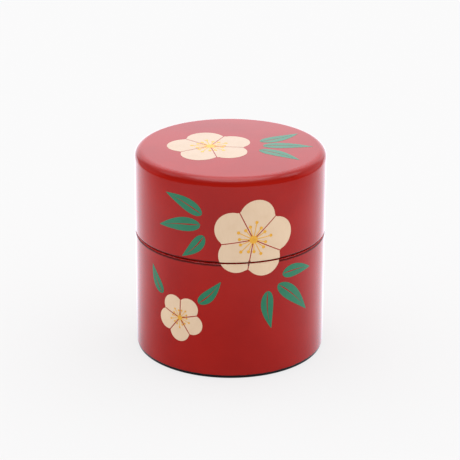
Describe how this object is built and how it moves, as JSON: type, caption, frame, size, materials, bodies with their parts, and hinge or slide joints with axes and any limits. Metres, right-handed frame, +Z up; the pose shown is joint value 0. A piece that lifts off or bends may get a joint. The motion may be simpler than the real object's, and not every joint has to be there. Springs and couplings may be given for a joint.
{
  "type": "tea caddy",
  "caption": "Straight-sided round lacquered tea caddy with a lift-off outer lid over a tall neck and a knobbed inner lid.",
  "frame": {"origin": "centre of the foot on the table", "axes": "+Z up along the axis that every piece is turned about, -Y towards the front of the decoration"},
  "size_m": [0.08, 0.08, 0.088],
  "materials": {
    "red_lacquer": "gloss",
    "black_lacquer": "gloss",
    "brass": "satin"
  },
  "bodies": {
    "body": {"base_disc": "black_lacquer", "body_wall": "red_lacquer", "neck_sleeve": "black_lacquer", "floor_disc": "black_lacquer"},
    "outer_lid": {"lid_shell": "red_lacquer", "lid_lining": "black_lacquer"},
    "inner_lid": {"inner_lid": "black_lacquer", "inner_lid_knob": "black_lacquer", "knob_screw": "brass"}
  },
  "joints": [
    {"name": "outer_lid_lift", "type": "slide", "parent": "body", "child": "outer_lid", "axis": [0, 0, 1], "range_m": [0, 0.08]},
    {"name": "inner_lid_lift", "type": "slide", "parent": "body", "child": "inner_lid", "axis": [0, 0, 1], "range_m": [0, 0.04]}
  ],
  "couplings": [
    {"joint": "inner_lid_lift", "follows": "outer_lid_lift", "ratio": 0.5}
  ]
}
